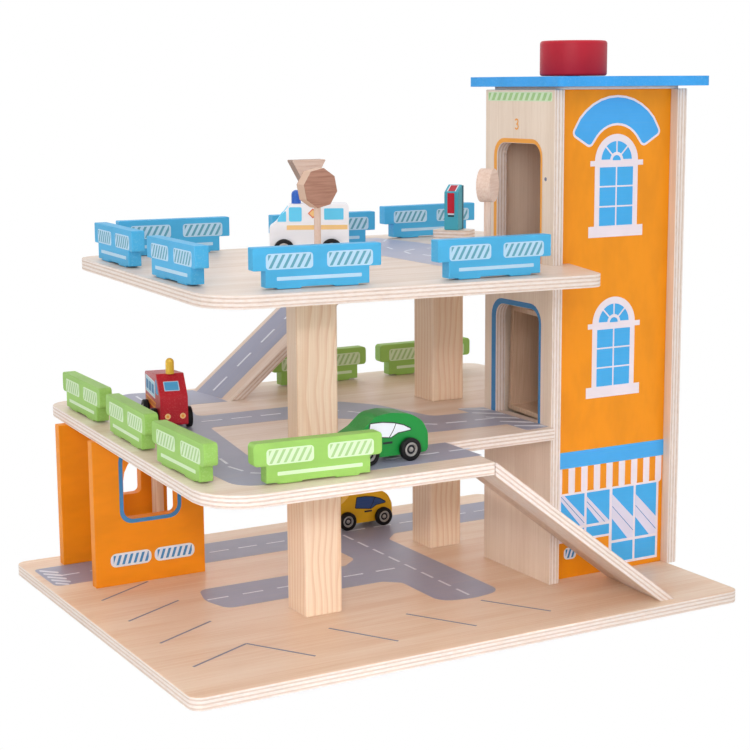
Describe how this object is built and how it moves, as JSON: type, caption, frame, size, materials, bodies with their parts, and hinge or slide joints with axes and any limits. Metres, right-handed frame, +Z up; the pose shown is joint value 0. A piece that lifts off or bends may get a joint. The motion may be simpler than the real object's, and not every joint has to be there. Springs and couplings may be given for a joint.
{
  "type": "toy parking garage",
  "caption": "Wooden toy parking garage with stacked decks, ramps, a lift tower turned by a roof knob, loose barriers and signs, a fuel pump and small vehicles.",
  "frame": {"origin": "centre of the base board's underside, on the floor", "axes": "+X towards the lift tower, +Y to the back, +Z up"},
  "size_m": [0.471, 0.3899, 0.4201],
  "materials": {
    "birch_plywood": "satin lacquered plywood",
    "pine": "satin lacquered pine",
    "orange_paint": "satin paint on plywood",
    "blue_paint": "satin paint on plywood",
    "barrier_blue_paint": "satin paint on plywood",
    "barrier_green_paint": "satin paint on plywood",
    "red_paint": "gloss paint on wood",
    "cord": "braided cord",
    "beech": "plain beech",
    "teal_paint": "satin paint on wood",
    "dark_teal_paint": "satin paint on wood",
    "green_paint": "gloss paint on wood",
    "yellow_paint": "gloss paint on wood",
    "white_paint": "gloss paint on wood",
    "lamp_blue_paint": "gloss paint on wood",
    "lamp_yellow_paint": "gloss paint on wood",
    "black_plastic": "moulded wheel"
  },
  "bodies": {
    "garage": {"base_board": "birch_plywood", "middle_deck": "birch_plywood", "upper_deck": "birch_plywood", "lower_front_post": "pine", "lower_rear_post": "pine", "upper_front_post": "pine", "upper_rear_post": "pine", "slim_post": "pine", "front_wall": "orange_paint", "rear_wall": "orange_paint", "lower_ramp": "birch_plywood", "upper_ramp": "birch_plywood", "tower_left_panel": "birch_plywood", "tower_right_panel": "birch_plywood", "tower_front_panel": "orange_paint", "tower_back_panel": "birch_plywood", "tower_roof": "blue_paint", "roof_locating_board": "birch_plywood", "cord_guide_bar": "beech", "lift_cord": "cord"},
    "lift_drive": {"lift_knob": "red_paint", "winding_spindle": "beech"},
    "lift_car": {"lift_cabin": "birch_plywood"},
    "blue_barrier_front_left": {"blue_barrier_front_left": "barrier_blue_paint"},
    "blue_barrier_front_right": {"blue_barrier_front_right": "barrier_blue_paint"},
    "blue_barrier_left_rear": {"blue_barrier_left_rear": "barrier_blue_paint"},
    "blue_barrier_left_front": {"blue_barrier_left_front": "barrier_blue_paint"},
    "blue_barrier_back_left": {"blue_barrier_back_left": "barrier_blue_paint"},
    "blue_barrier_back_middle": {"blue_barrier_back_middle": "barrier_blue_paint"},
    "blue_barrier_back_right": {"blue_barrier_back_right": "barrier_blue_paint"},
    "green_barrier_left_rear": {"green_barrier_left_rear": "barrier_green_paint"},
    "green_barrier_left_middle": {"green_barrier_left_middle": "barrier_green_paint"},
    "green_barrier_left_front": {"green_barrier_left_front": "barrier_green_paint"},
    "green_barrier_front": {"green_barrier_front": "barrier_green_paint"},
    "green_barrier_back_left": {"green_barrier_back_left": "barrier_green_paint"},
    "green_barrier_back_right": {"green_barrier_back_right": "barrier_green_paint"},
    "octagon_sign": {"octagon_sign_board": "beech", "octagon_sign_pole": "beech"},
    "triangle_sign": {"triangle_sign_board": "beech", "triangle_sign_pole": "beech"},
    "disc_sign": {"disc_sign_board": "beech", "disc_sign_pole": "beech"},
    "fuel_pump": {"fuel_pump_foot": "birch_plywood", "fuel_pump_body": "teal_paint", "fuel_pump_back_board": "dark_teal_paint", "fuel_pump_display": "red_paint"},
    "ambulance": {"ambulance_body": "white_paint", "ambulance_light": "lamp_blue_paint"},
    "ambulance_front_axle": {"ambulance_front_wheels": "black_plastic"},
    "ambulance_rear_axle": {"ambulance_rear_wheels": "black_plastic"},
    "green_car": {"green_car_body": "green_paint"},
    "green_car_front_axle": {"green_car_front_wheels": "black_plastic"},
    "green_car_rear_axle": {"green_car_rear_wheels": "black_plastic"},
    "yellow_car": {"yellow_car_body": "yellow_paint"},
    "yellow_car_front_axle": {"yellow_car_front_wheels": "black_plastic"},
    "yellow_car_rear_axle": {"yellow_car_rear_wheels": "black_plastic"},
    "fire_truck": {"fire_truck_body": "red_paint", "fire_truck_light": "lamp_yellow_paint"},
    "fire_truck_front_axle": {"fire_truck_front_wheels": "black_plastic"},
    "fire_truck_rear_axle": {"fire_truck_rear_wheels": "black_plastic"}
  },
  "joints": [
    {"name": "knob_turn", "type": "hinge", "parent": "garage", "child": "lift_drive", "pos_m": [0.163, -0.04153, 0.396], "axis": [0, 0, 1], "range_deg": [-769.1, 0]},
    {"name": "cabin_lift", "type": "slide", "parent": "garage", "child": "lift_car", "axis": [0, 0, 1], "range_m": [0, 0.1222], "deforming": ["lift_cord"]},
    {"name": "blue_barrier_front_left_lift_off", "type": "slide", "parent": "garage", "child": "blue_barrier_front_left", "axis": [0, 0, 1], "range_m": [0, 0.05]},
    {"name": "blue_barrier_front_right_lift_off", "type": "slide", "parent": "garage", "child": "blue_barrier_front_right", "axis": [0, 0, 1], "range_m": [0, 0.05]},
    {"name": "blue_barrier_left_rear_lift_off", "type": "slide", "parent": "garage", "child": "blue_barrier_left_rear", "axis": [0, 0, 1], "range_m": [0, 0.05]},
    {"name": "blue_barrier_left_front_lift_off", "type": "slide", "parent": "garage", "child": "blue_barrier_left_front", "axis": [0, 0, 1], "range_m": [0, 0.05]},
    {"name": "blue_barrier_back_left_lift_off", "type": "slide", "parent": "garage", "child": "blue_barrier_back_left", "axis": [0, 0, 1], "range_m": [0, 0.05]},
    {"name": "blue_barrier_back_middle_lift_off", "type": "slide", "parent": "garage", "child": "blue_barrier_back_middle", "axis": [0, 0, 1], "range_m": [0, 0.05]},
    {"name": "blue_barrier_back_right_lift_off", "type": "slide", "parent": "garage", "child": "blue_barrier_back_right", "axis": [0, 0, 1], "range_m": [0, 0.05]},
    {"name": "green_barrier_left_rear_lift_off", "type": "slide", "parent": "garage", "child": "green_barrier_left_rear", "axis": [0, 0, 1], "range_m": [0, 0.05]},
    {"name": "green_barrier_left_middle_lift_off", "type": "slide", "parent": "garage", "child": "green_barrier_left_middle", "axis": [0, 0, 1], "range_m": [0, 0.05]},
    {"name": "green_barrier_left_front_lift_off", "type": "slide", "parent": "garage", "child": "green_barrier_left_front", "axis": [0, 0, 1], "range_m": [0, 0.05]},
    {"name": "green_barrier_front_lift_off", "type": "slide", "parent": "garage", "child": "green_barrier_front", "axis": [0, 0, 1], "range_m": [0, 0.05]},
    {"name": "green_barrier_back_left_slide_out", "type": "slide", "parent": "garage", "child": "green_barrier_back_left", "axis": [0, -1, 0], "range_m": [0, 0.06]},
    {"name": "green_barrier_back_right_lift_off", "type": "slide", "parent": "garage", "child": "green_barrier_back_right", "axis": [0, 0, 1], "range_m": [0, 0.05]},
    {"name": "octagon_sign_lift_off", "type": "slide", "parent": "garage", "child": "octagon_sign", "axis": [0, 0, 1], "range_m": [0, 0.05]},
    {"name": "triangle_sign_lift_off", "type": "slide", "parent": "garage", "child": "triangle_sign", "axis": [0, 0, 1], "range_m": [0, 0.05]},
    {"name": "disc_sign_lift_off", "type": "slide", "parent": "garage", "child": "disc_sign", "axis": [0, 0, 1], "range_m": [0, 0.05]},
    {"name": "fuel_pump_lift_off", "type": "slide", "parent": "garage", "child": "fuel_pump", "axis": [0, 0, 1], "range_m": [0, 0.05]},
    {"name": "ambulance_roll", "type": "slide", "parent": "garage", "child": "ambulance", "axis": [0.8911, -0.4538, 0], "range_m": [-0.06, 0.06]},
    {"name": "ambulance_front_wheel_turn", "type": "hinge", "parent": "ambulance", "child": "ambulance_front_axle", "pos_m": [-0.0347, 0.06465, 0.2629], "axis": [0.4538, 0.8911, 0], "continuous": true},
    {"name": "ambulance_rear_wheel_turn", "type": "hinge", "parent": "ambulance", "child": "ambulance_rear_axle", "pos_m": [-0.00191, 0.04795, 0.2629], "axis": [0.4538, 0.8911, 0], "continuous": true},
    {"name": "green_car_roll", "type": "slide", "parent": "garage", "child": "green_car", "axis": [1, 0, 0], "range_m": [-0.06, 0.025]},
    {"name": "green_car_front_wheel_turn", "type": "hinge", "parent": "green_car", "child": "green_car_front_axle", "pos_m": [-0.07351, -0.12299, 0.1407], "axis": [0, 1, 0], "continuous": true},
    {"name": "green_car_rear_wheel_turn", "type": "hinge", "parent": "green_car", "child": "green_car_rear_axle", "pos_m": [-0.0405, -0.12299, 0.1407], "axis": [0, 1, 0], "continuous": true},
    {"name": "yellow_car_roll", "type": "slide", "parent": "garage", "child": "yellow_car", "axis": [1, 0, 0], "range_m": [-0.08, 0.08]},
    {"name": "yellow_car_front_wheel_turn", "type": "hinge", "parent": "yellow_car", "child": "yellow_car_front_axle", "pos_m": [0.05219, 0.13802, 0.0173], "axis": [0, 1, 0], "continuous": true},
    {"name": "yellow_car_rear_wheel_turn", "type": "hinge", "parent": "yellow_car", "child": "yellow_car_rear_axle", "pos_m": [0.08789, 0.13802, 0.0173], "axis": [0, 1, 0], "continuous": true},
    {"name": "fire_truck_roll", "type": "slide", "parent": "garage", "child": "fire_truck", "axis": [0.2122, 0.9772, 0], "range_m": [-0.04, 0.03]},
    {"name": "fire_truck_front_wheel_turn", "type": "hinge", "parent": "fire_truck", "child": "fire_truck_front_axle", "pos_m": [-0.13764, 0.0539, 0.1407], "axis": [-0.9772, 0.2122, 0], "continuous": true},
    {"name": "fire_truck_rear_wheel_turn", "type": "hinge", "parent": "fire_truck", "child": "fire_truck_rear_axle", "pos_m": [-0.12958, 0.09104, 0.1407], "axis": [-0.9772, 0.2122, 0], "continuous": true}
  ],
  "couplings": [
    {"joint": "cabin_lift", "follows": "knob_turn", "m_per_rad": -0.0091},
    {"joint": "ambulance_front_wheel_turn", "follows": "ambulance_roll", "rad_per_m": 125},
    {"joint": "ambulance_rear_wheel_turn", "follows": "ambulance_roll", "rad_per_m": 125},
    {"joint": "green_car_front_wheel_turn", "follows": "green_car_roll", "rad_per_m": 125},
    {"joint": "green_car_rear_wheel_turn", "follows": "green_car_roll", "rad_per_m": 125},
    {"joint": "yellow_car_front_wheel_turn", "follows": "yellow_car_roll", "rad_per_m": 125},
    {"joint": "yellow_car_rear_wheel_turn", "follows": "yellow_car_roll", "rad_per_m": 125},
    {"joint": "fire_truck_front_wheel_turn", "follows": "fire_truck_roll", "rad_per_m": 125},
    {"joint": "fire_truck_rear_wheel_turn", "follows": "fire_truck_roll", "rad_per_m": 125}
  ]
}
